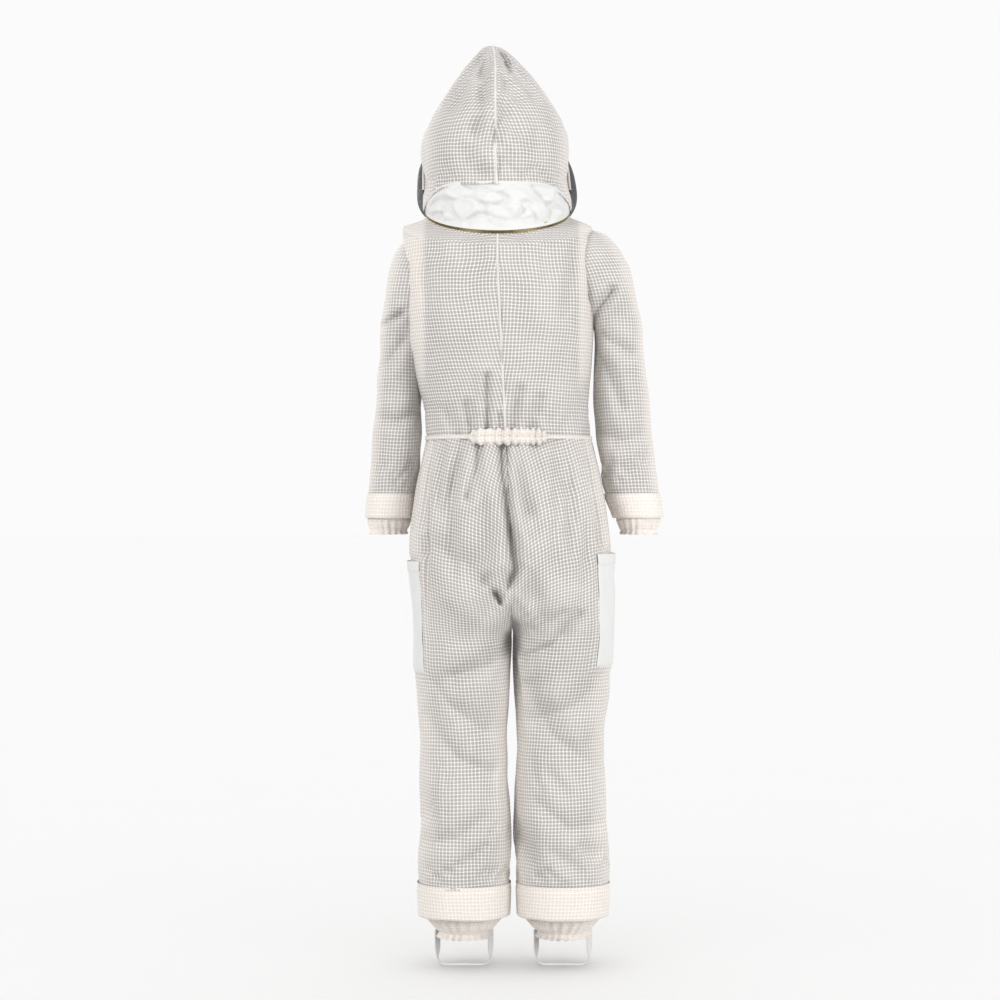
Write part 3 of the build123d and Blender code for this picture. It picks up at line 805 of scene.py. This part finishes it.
def gathered(name, top, foot, folds, depth, body, nodes, s, seed):
    """A cuff gathered by elastic: from an oval at the top to a ring at the foot, with radial folds.
    top and foot are (x, y, reach in x, reach in y, height); CUFF_PROFILE rows are (share of the way down,
    share of the way in, share of the folds' depth)."""
    phi = np.linspace(-math.pi, math.pi, folds * 14 + 1)[None, :]
    v = shares(25)
    down, way_in, fold_share = zip(*CUFF_PROFILE)
    shape, ruffle = np.interp(v, down, way_in), np.interp(v, down, fold_share)
    mid_x, mid_y = (top[i] + (foot[i] - top[i]) * v for i in (0, 1))
    rx, ry = (top[i] + (foot[i] - top[i]) * shape for i in (2, 3))
    wander = 0.35 * np.sin(3 * phi + seed) + 0.2 * np.sin(7 * phi - seed)
    wave = np.sin(folds * phi + 2.2 * wander + 0.8 * np.sin(5 * v))
    wave = signed_power(wave, 0.8) * (0.75 + 0.25 * np.sin(4 * phi + seed))
    r = depth * ruffle * wave
    h = top[4] + (foot[4] - top[4]) * v + 0.35 * r
    x = mid_x + s * (rx + r) * np.cos(phi)
    y = mid_y + (ry + r) * np.sin(phi)
    P = joined(np.stack(np.broadcast_arrays(x, y, h + SOLE), -1).copy())
    fitted(name, P, NET, body, nodes, "gathered", flip=s > 0, band_and_edge_light=0.95)


def inside_hem(rows, at, in_x, in_y, height):
    """The top of a cuff: an oval inside a tube's outline at one height, set in by in_x and in_y."""
    mid, reach, front, back = (float(v) for v in stations(rows, np.array(at)))
    return mid, (front + back) / 2, reach - in_x, (back - front) / 2 - in_y, height


WRISTS = {"left": (0.220, -0.060), "right": (-0.284, -0.044)}
ANKLES = {"left": (0.0665, -0.003), "right": (-0.130, -0.003)}
for side, s in SIDES.items():
    forearm, shin = f"sleeve_lower_{side}", f"leg_lower_{side}"
    hem(f"sleeve_hem_{side}_cloth", ARMS[side], 0.889, 0.938, forearm, f"sleeve_hem_{side}", 21 + s, s)
    hem(f"leg_hem_{side}_cloth", LEGS[side], 0.100, 0.166, shin, f"leg_hem_{side}", 31 + s, s)
    gathered(f"wrist_cuff_{side}_cloth", inside_hem(ARMS[side], 0.892, 0.004, 0.004, 0.893),
             (*WRISTS[side], 0.036, 0.037, 0.856), 17, 0.0032, forearm,
             (f"wrist_cuff_{side}", f"wrist_elastic_{side}"), s, 1.0 + s)
    gathered(f"ankle_cuff_{side}_cloth", inside_hem(LEGS[side], 0.104, 0.013, 0.012, 0.108),
             (*ANKLES[side], 0.049, 0.050, 0.056), 21, 0.0045, shin,
             (f"ankle_cuff_{side}", f"ankle_elastic_{side}"), s, 2.0 + s)


def waist():
    """The casing over the waist elastic: a narrow band, gathered hard across the middle of the back."""
    v = shares(17)
    h = np.full(v.shape, 1.0475)
    zip_gap = 0.04
    phi = np.linspace(zip_gap - QUARTER, 1.5 * math.pi - zip_gap, 720)[None, :]
    left, right, front, back = stations(TORSO, h)
    centre = zip_x(h)
    reach = np.where(np.cos(phi) > 0, left - centre, centre - right)
    P = oval(centre, reach, front, back, phi, h)
    at_back = smooth(0.080, 0.058, np.abs(P[..., 0] + 0.021)) * (P[..., 1] > 0)
    P[..., 2] += (v - 0.5) * (0.0085 + 0.0125 * at_back)
    n = normals(P)
    wave = np.sin(78 * phi + 3.0 * np.sin(7 * phi) + 1.5 * np.sin(3 * v)) * (0.7 + 0.3 * np.sin(17 * phi))
    body = (0.0016 + 0.0050 * at_back) * (1 - (2 * v - 1) ** 4)
    pinch = -0.0030 * at_back * gauss(v, 0.5, 0.12)
    out = body + pinch + wave * (0.0005 + 0.0030 * at_back) + 0.0030 + 0.0052 * at_back
    P = P + n * out[..., None]
    P[..., 2] += (0.0050 * (2 * v - 1) * at_back) * (1 + 0.5 * wave)
    fitted("waist_casing_cloth", P, NET, "torso", ("waist_casing", "waist_elastic"),
           "gathered", rows=None, band_and_edge_light=0.60 + 0.08 * at_back)


waist()


# ---- patch pockets ----
def pocket_cloth(place, step=0.0032):
    """A pocket's level rectangle of cloth, read off the smooth grid that it lies on."""
    low, high, left, right = POCKETS[place]
    grid = smooth_grids[place]
    across, z = pattern(grid)[..., 0], grid[..., 2] - SOLE
    c = np.arange(0, grid.shape[1], 3)
    us, rows = np.arange(left, right, step), []
    for h in np.arange(low, high, step):
        r = np.clip([np.searchsorted(z[:, k], h) for k in c], 1, len(grid) - 1)
        t = np.clip((h - z[r - 1, c]) / (z[r, c] - z[r - 1, c]), 0, 1)[:, None]
        line = grid[r - 1, c] * (1 - t) + grid[r, c] * t
        rows.append(np.stack([np.interp(us, across[r, c], line[:, k]) for k in range(3)], -1))
    return np.array(rows)


def patch(name, place, s, lift, node):
    """A patch pocket: lifted cloth with a turned hem along its open top."""
    P = pocket_cloth(place)
    n = normals(P, s)
    P = P + n * (0.0022 * wobble(P, 0.045, 4.0))[..., None]
    r, c = P.shape[:2]
    i, j = np.arange(r)[:, None], np.arange(c)[None, :]
    near = np.minimum(np.minimum(j, c - 1 - j), i)
    hem_row = r - 8
    stitch = gauss(near, 2.5, 0.8) + 1.2 * gauss(i, hem_row, 0.8)
    sag = 0.003 * np.sin(j / (c - 1) * math.pi) * smooth(0.6, 1.0, i / (r - 1))
    out = lift * (0.25 + 0.75 * np.clip(near / 2.0, 0, 1)) + 0.0012 * (i > hem_row) - 0.0008 * stitch + sag
    P = P + n * out[..., None]
    flat = pattern(P)
    piece = cloth_piece(name, P, POLYCOTTON, flat, flip=s < 0)
    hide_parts(node)
    declare(flat)
    return piece


for side, s in SIDES.items():
    hip_blend(patch(f"thigh_pocket_{side}_cloth", f"leg_{side}", s, 0.0030, f"thigh_pocket_{side}"), side)
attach(patch("chest_pocket_cloth", "torso_left", 1.0, 0.0042, "chest_pocket"), "torso")


# ---- hood ----
def hood_point(phi, h):
    mid, reach, front, back = stations(HOOD, h)
    return oval(mid, reach, front, back, phi, h, 0.96)


def veil_seam(phi):
    """Height at which a column round the hood crosses the seam between the veil and the crown."""
    low, high = np.full(phi.shape, 1.40), np.full(phi.shape, 1.80)
    for _ in range(30):
        mid = (low + high) / 2
        behind = hood_point(phi, mid)[..., 1] > -0.018 - (mid - 1.553) * (0.134 / 0.169)
        low, high = np.where(behind, low, mid), np.where(behind, mid, high)
    return (low + high) / 2


def band_top(phi):
    """Top edge of the white band: arched over the back, dropping at the sides and under the veil."""
    y = hood_point(phi, np.full(phi.shape, 1.50))[..., 1]
    front = collar_height(y) + 0.024
    back = 1.503 + 0.038 * smooth(0.0, 0.85, np.sin(phi))
    return front + (back - front) * smooth(-0.45, 0.10, np.sin(phi))


def hood_band():
    phi = np.linspace(-QUARTER, 1.5 * math.pi, 361)[None, :]
    y = hood_point(phi, np.full(phi.shape, 1.50))[..., 1]
    low, high = collar_height(y) + COLLAR_GAP, band_top(phi)
    v = shares(31)
    h = low + (high - low) * v
    P = hood_point(phi, h)
    blend = smooth(0.55, 0.0, v)[..., None]
    ring = np.stack(np.broadcast_arrays(0.1425 * np.cos(phi), 0.1425 * np.sin(phi), h + SOLE), -1)
    P = P + (ring - P) * blend
    n = normals(P)
    tall = smooth(0.02, 0.07, high - low)
    x, y, z = np.moveaxis(P, -1, 0)
    slanted = np.stack([x + 0.9 * z, y, 1.5 * z - 0.7 * x], -1)
    crossed = np.stack([x - 0.8 * z, y, 1.2 * z + 0.5 * x], -1)
    ridge = gauss(wobble(slanted, 0.060, 5.0), 0, 0.16)
    valley = gauss(wobble(crossed, 0.052, 9.0), 0, 0.13)
    crumple = 0.0060 * ridge - 0.0085 * valley + 0.0015 * wobble(P, 0.030, 3.0)
    inward = 0.0035 * np.cos(phi) ** 2
    hemmed = 0.0014 * gauss(v, 0.97, 0.025) - 0.0012 * gauss(v, 0.91, 0.022)
    out = (crumple * tall - inward) * np.sin(v * math.pi) ** 0.7 + hemmed + 0.0008
    P = joined(P + n * out[..., None])
    fitted("hood_band_cloth", P, POLYCOTTON, "hood", ("hood_band",), "stretched")


def crown(side):
    """Half of the net crown, from the front centre seam round the side to the back seam, up to the tip."""
    s = SIDES[side]
    phi = np.linspace(-QUARTER, QUARTER, 40)[None, :]
    turn = phi if s > 0 else math.pi - phi
    over_band, over_veil = band_top(turn) - 0.006, veil_seam(turn) - 0.003
    corner = gauss(over_band, over_veil, 0.012)
    low = np.maximum(over_band, over_veil) - 0.007 * corner
    v = shares(34)
    h = low + (1.828 - low) * (v + 0.35 * v * (1 - v))
    P = hood_point(turn, h)
    pinned = np.zeros(P.shape[:2], bool)
    pinned[:1], pinned[-4:] = True, True
    pinned[:, :1] = pinned[:, -1:] = True
    settled = settle(P, None, pinned, (0.080, 0.045), 0.012, s, 0.012, 17.0 + s)
    Q, flat = creased(fine(settled, 3), HOOD_FOLDS, 0.0), pattern(fine(P, 3), 0.02)
    # painted edge light towards the crown's outer side
    fitted(f"hood_crown_{side}_cloth", Q, NET, "hood", (f"hood_crown_{side}",), "hung",
           flat, None, s < 0, painted_edge_light(Q, s, 0.40))
    return Q


def veil():
    phi = np.linspace(-math.pi, 0, 241)
    keep = veil_seam(phi) > band_top(phi) - 0.006
    phi = phi[keep][None, :]
    low = band_top(phi) - 0.006
    high = np.maximum(veil_seam(phi), low + 0.002)
    v = shares(40)
    P = hood_point(phi, low + (high - low) * v)
    n = normals(P)
    side = np.abs(np.cos(phi))
    room = smooth(0.0, 0.16, high - low)
    bulge = np.sin(v**0.8 * math.pi) ** 0.6 * room * (0.004 + 0.028 * side**1.5)
    tucked = 0.0030 * smooth(0.040, 0.005, high - low)
    P = P + n * (bulge - tucked + 0.0012 * wobble(P, 0.05, 2.0))[..., None]
    fitted("veil_net_panel", P, VEIL, "hood", ("veil",), "stretched", rows=None)


def bead(name, path, out, width, height, body, nodes=()):
    """A bound seam: a rounded strip of that width and height along a path, standing on the out directions."""
    across = unit(np.cross(out, unit(np.gradient(path, axis=0))))
    a = np.linspace(0, 2 * math.pi, 9)
    P = (path[:, None] + across[:, None] * (np.cos(a) * width / 2)[None, :, None]
         + out[:, None] * (np.sin(a) * height / 2 + height * 0.25)[None, :, None])
    fitted(name, joined(P), BINDING, body, nodes)


def level(n):
    """Directions turned into the plane of the centre seam."""
    return unit(n * (0, 1, 1))


hood_band()
crowns = {side: crown(side) for side in SIDES}
veil()
C = crowns["left"]
n = normals(C)
seam = np.concatenate([C[:, -1], C[::-1, 0][1:]])
seam_out = np.concatenate([n[:, -1], n[::-1, 0][1:]])
bead("hood_seam_cloth", seam, level(seam_out), 0.0055, 0.0026, "hood", ("hood_seam_binding",))
phi = np.linspace(-math.pi + 0.02, -0.02, 120)
phi = phi[veil_seam(phi) > band_top(phi)]
line = hood_point(phi, veil_seam(phi))
outward = unit(line - np.array([0.0, -0.01, SOLE + 1.60]))
bead("veil_piping_cloth", line, outward, 0.006, 0.005, "hood", ("veil_piping",))


# ---- centre back seam of the bodice ----
def back_seam():
    Q = torso_grids["left"]
    h = Q[:, -1, 2] - SOLE
    keep = (h > 1.05) & (h < 1.46)
    bead("bodice_back_seam", Q[keep, -1], level(normals(Q)[keep, -1]), 0.0046, 0.0024, "torso")


back_seam()


# ---- zips ----
def collar_path(radius, offset, n=361):
    """Points round the collar at a radius, offset up along the hood side of the zip."""
    a = np.linspace(-QUARTER, 1.5 * math.pi, n)
    x, y = radius * np.cos(a), radius * np.sin(a)
    return np.stack([x, y, collar_height(y) + offset + SOLE], -1), np.stack([np.cos(a), np.sin(a), 0 * a], -1)


def collar_tape(label, offset, lift, body, width=0.0076, gauge=0.0009):
    """One side's woven tape of the collar zip, whose width runs up from its path."""
    path, out = collar_path(COLLAR_R, offset)
    path = path + out * lift
    outline = ((0, 0), (1, 0), (1, 1), (0, 1), (0, 0))
    P = joined(np.stack([path + UP * width * b + out * gauge * a for a, b in outline], 1))
    fitted(f"collar_tape_{label}_cloth", P, TAPE, body, (f"collar_zip_tape_{label}",))


def teeth(name, path, out, pitch, size, body, node):
    """Zip teeth as small bevelled blocks along a path; size is (along, across, out)."""
    run = np.concatenate([[0], np.cumsum(np.linalg.norm(np.diff(path, axis=0), axis=-1))])
    at = np.arange(pitch / 2, run[-1], pitch)

    def along(rows, where):
        return np.stack([np.interp(where, run, rows[:, k]) for k in range(3)], -1)

    centre, o = along(path, at), along(out, at)
    ahead = unit(along(path, at + pitch / 4) - along(path, at - pitch / 4))
    across = np.cross(o, ahead)
    along_h, across_h, out_h = (v / 2 for v in size)
    ring = ((-1, -1), (1, -1), (1, 1), (-1, 1))
    verts, faces = [], []
    for k in range(len(at)):
        base = len(verts)
        for depth, shrink in ((-1.0, 1.0), (0.4, 1.0), (1.0, 0.72)):
            for a, b in ring:
                sideways = ahead[k] * a * along_h + across[k] * b * across_h
                verts.append(centre[k] + sideways * shrink + o[k] * out_h * depth)
        faces.append((base + 3, base + 2, base + 1, base))
        for tier in (0, 4):
            for j in range(4):
                a, b = base + tier + j, base + tier + (j + 1) % 4
                faces.append((a, b, b + 4, a + 4))
        faces.append((base + 8, base + 9, base + 10, base + 11))
    piece = object_from(name, verts, faces, BRASS)
    piece.data.polygons.foreach_set("use_smooth", [False] * len(piece.data.polygons))
    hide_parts(node)
    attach(piece, body)


collar_tape("lower", -0.0090, -0.0032, "torso")
collar_tape("upper", 0.0014, -0.0016, "hood")
for label, body, offset in (("lower", "torso", -0.0011), ("upper", "hood", 0.0011)):
    path, out = collar_path(COLLAR_R + 0.0016, offset, 721)
    teeth(f"collar_teeth_{label}", path, out, 0.0031, (0.0017, 0.0020, 0.0030), body,
          f"collar_zip_teeth_{label}")


def front_zip():
    """The leaning front zip: a tape on each side and one row of teeth, which ends below the tapes' tops."""
    run = np.linspace(ZIP_FOOT[1] + 0.002, 1.436, 300)
    chest = stations(TORSO, run)[2]
    line = np.stack([zip_x(run), np.where(run > 1.39, chest + 0.003, ZIP_Y), run + SOLE], -1)
    outline = ((0.0012, 0), (0.015, 0), (0.015, 1), (0.0012, 1), (0.0012, 0))
    for side, s in SIDES.items():
        P = joined(np.stack([line + np.array([s * a, 0.001 + 0.0008 * b, 0]) for a, b in outline], 1))
        fitted(f"front_tape_{side}_cloth", P, TAPE, "torso", (f"front_zip_tape_{side}",),
               flip=s > 0)
    line = line[run < ZIP_TOP[1]]
    out = np.tile(-BACKWARD, (len(line), 1))
    teeth("front_zip_teeth_row", line, out, 0.0034, (0.0019, 0.0052, 0.0030), "torso", "front_zip_teeth")


front_zip()


# ---- throat flap ----
def throat_flap():
    low, high = np.array(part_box("throat_flap"))
    v, u = shares(29), np.linspace(-1, 1, 21)[None, :]
    half = (high[0] - low[0]) / 2
    z = low[2] + (high[2] - low[2]) * v
    taper = 1 - 0.10 * smooth(0.22, 0.0, v)
    x = (low[0] + high[0]) / 2 + half * u * taper
    y = low[1] + 0.004 + (z - low[2]) * 0.085 + 0.003 * u**2
    edge = np.minimum(np.minimum(v, 1 - v) * 14, (1 - np.abs(u)) * 10)
    stitch = 0.0007 * gauss(edge, 1.6, 0.5)
    front = y - 0.0015 * np.clip(edge, 0, 1) + stitch
    back = y + 0.0012 * np.clip(edge, 0, 1)
    F = np.stack(np.broadcast_arrays(x, front, z), -1)
    B = np.stack(np.broadcast_arrays(x, back, z), -1)
    P = np.concatenate([F, B[:, ::-1], F[:, :1]], 1)
    fitted("throat_flap_cloth", P, POLYCOTTON, "flap", ("throat_flap",))


throat_flap()


# ---- stirrup straps ----
def stirrup(side):
    """An elastic strap that hangs in a U, lying flat under the foot and turned where it is sewn in."""
    low, high = np.array(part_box(f"stirrup_strap_{side}"))
    mid_y, half = (low[1] + high[1]) / 2, (high[1] - low[1]) / 2
    gauge, corner = 0.0018, 0.016
    x0, x1, z0, z1 = low[0] + gauge / 2, high[0] - gauge / 2, low[2] + gauge / 2, high[2]
    turn = np.linspace(0, QUARTER, 10)
    down = [(x0, z) for z in np.linspace(z1, z0 + corner, 12)]
    arc = [(x0 + corner - corner * math.cos(a), z0 + corner - corner * math.sin(a)) for a in turn[1:]]
    flat_run = [(x, z0) for x in np.linspace(x0 + corner, x1 - corner, 16)[1:-1]]
    far_arc = [(x1 - corner + corner * math.sin(a), z0 + corner - corner * math.cos(a)) for a in turn]
    up_again = [(x1, z) for z in np.linspace(z0 + corner, z1, 12)[1:]]
    path = np.array([(x, mid_y, z) for x, z in down + arc + flat_run + far_arc + up_again])
    tangent = unit(np.gradient(path, axis=0))
    out = np.cross(tangent, BACKWARD)
    w = np.linspace(-1, 1, 13)
    ridge = 0.00025 * np.cos(w * math.pi * 5)
    face = [(a * half, gauge / 2 + b) for a, b in zip(w, ridge)]
    ring = face + [(-a, -b) for a, b in face] + [face[0]]
    limb = np.sign(path[:, :1] - (x0 + x1) / 2)
    twist = math.radians(42) * smooth(z0 + 0.004, z0 + 0.035, path[:, 2:3]) * limb
    wide = np.cos(twist) * BACKWARD - np.sin(twist) * out
    thin = np.cross(tangent, wide)
    P = joined(np.stack([path + wide * a + thin * b for a, b in ring], 1))
    fitted(f"stirrup_{side}_elastic", P, ELASTIC, f"leg_lower_{side}", (f"stirrup_strap_{side}",))


for side in SIDES:
    stirrup(side)


# ---- CAD nodes that are kept: metal and hook-and-loop ----
for name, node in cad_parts.items():
    for place in node.material_slots:
        place.material = HOOK if "patch" in name else BRASS


# ---- floor, light and camera ----
def area_light(name, place, size, power, unlit):
    """A square lamp aimed at the suit's middle, which leaves the unlit floor to the world's light."""
    middle = Vector((0, 0, SOLE + 1.0))
    light = bpy.data.lights.new(name, "AREA")
    light.energy, light.size = power, size
    obj = linked(name, light)
    obj.location = place
    obj.rotation_euler = (middle - Vector(place)).to_track_quat("-Z", "Y").to_euler()
    obj.light_linking.receiver_collection = unlit


def studio():
    reach = 60
    corners = [(reach * x, reach * y, SOLE) for x, y in ((-1, -1), (1, -1), (1, 1), (-1, 1))]
    floor = object_from("floor", corners, [(0, 1, 2, 3)])
    material, shader, n = new_material("floor_paper")
    paper = n.mix(n.noise(n.place(), 3.0), (0.985, 0.985, 0.985), (0.995, 0.995, 0.995))
    n.link(paper, shader.inputs["Base Color"])
    shader.inputs["Roughness"].default_value = 0.9
    floor.data.materials.append(material)
    unlit = bpy.data.collections.new("floor_left_to_the_sky")
    unlit.objects.link(floor)
    unlit.collection_objects[0].light_linking.link_state = "EXCLUDE"
    bpy.context.scene.view_settings.view_transform = "Standard"
    world = bpy.data.worlds.new("studio")
    bpy.context.scene.world = world
    world.use_nodes = True
    background = world.node_tree.nodes["Background"]
    background.inputs[0].default_value = (1.0, 1.0, 1.0, 1)
    background.inputs[1].default_value = 0.965
    area_light("key", (2.9, 3.3, SOLE + 2.9), 1.3, 108, unlit)
    area_light("fill", (-3.0, 2.6, SOLE + 1.5), 2.0, 88, unlit)
    area_light("front", (2.0, -8.0, SOLE + 4.5), 4.0, 270, unlit)
    camera = bpy.data.cameras.new("camera")
    camera.lens, camera.sensor_width = 90.5, 36
    obj = linked("camera", camera)
    obj.location = (-0.005, 5.0, SOLE + 0.9245)
    obj.rotation_euler = (QUARTER, 0, math.pi)
    bpy.context.scene.camera = obj


studio()
